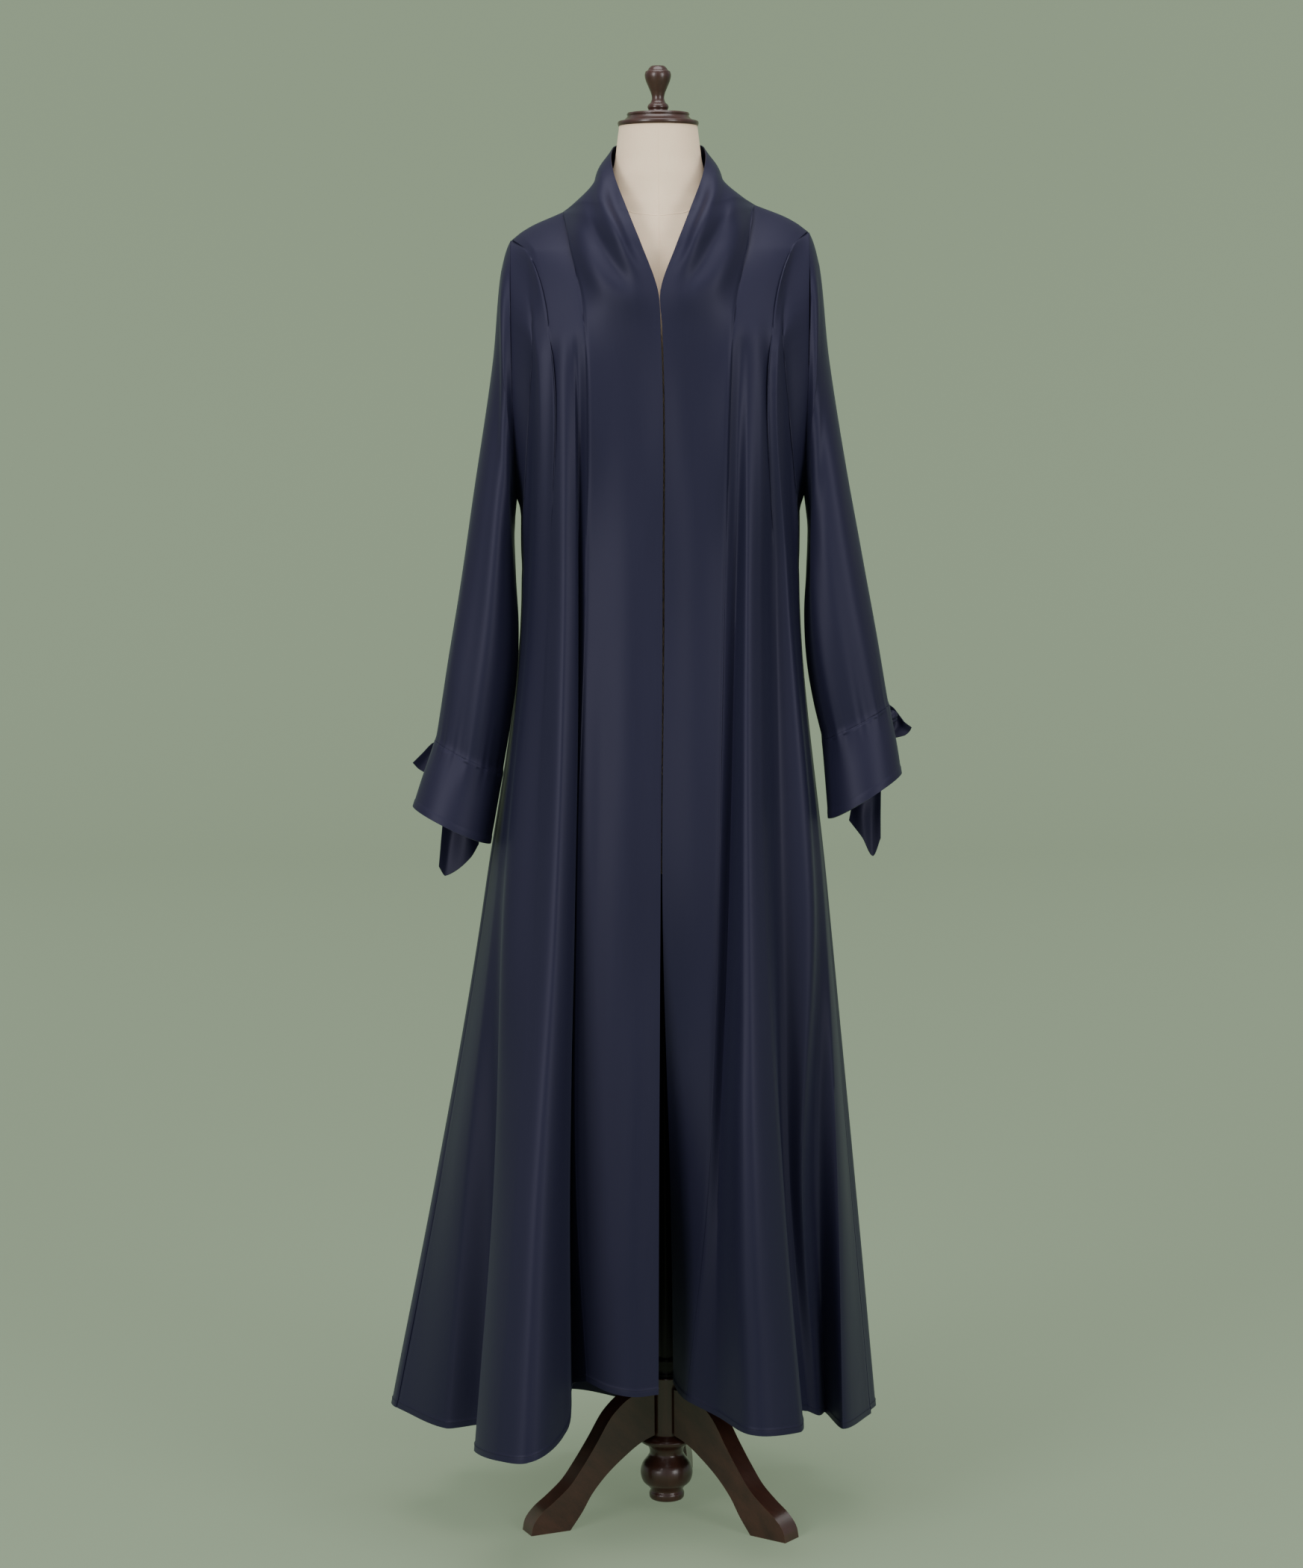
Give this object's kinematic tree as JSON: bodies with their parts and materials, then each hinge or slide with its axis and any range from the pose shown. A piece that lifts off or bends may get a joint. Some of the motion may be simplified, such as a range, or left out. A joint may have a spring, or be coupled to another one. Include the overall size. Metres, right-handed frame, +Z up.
{
  "type": "open-front abaya on a limbless dress form with a wooden tripod stand",
  "caption": "Floor-length open-front satin abaya with a shawl collar, wide sleeves and tied cuffs, worn by a linen dress form on a turned wooden tripod stand.",
  "frame": {"origin": "centre of the whole part's footprint box, at floor height under the feet", "axes": "+Z up, -Y the way the open front faces, +X to the right of someone looking at the front"},
  "size_m": [0.6694, 0.5538, 1.824],
  "materials": {
    "navy_satin": "satin weave with a soft sheen, dyed dark navy",
    "natural_linen": "unbleached plain-weave linen, matt",
    "dark_wood": "turned and sawn hardwood, dark stain, polished",
    "black_steel": "black lacquered steel tube, semi-gloss"
  },
  "bodies": {
    "root": {"front_panel_left": "navy_satin", "side_front_left": "navy_satin", "front_panel_right": "navy_satin", "side_front_right": "navy_satin", "back": "navy_satin", "sleeve_left": "navy_satin", "cuff_left": "navy_satin", "tie_knot_left": "navy_satin", "tie_tail_upper_left": "navy_satin", "tie_tail_hanging_left": "navy_satin", "sleeve_right": "navy_satin", "cuff_right": "navy_satin", "tie_knot_right": "navy_satin", "tie_tail_upper_right": "navy_satin", "tie_tail_hanging_right": "navy_satin", "form_body": "natural_linen", "neck_cap": "dark_wood", "finial": "dark_wood", "column": "dark_wood", "leg_front_left": "dark_wood", "leg_front_right": "dark_wood", "leg_back": "dark_wood", "pole": "black_steel", "pole_collar": "black_steel"}
  },
  "joints": []
}
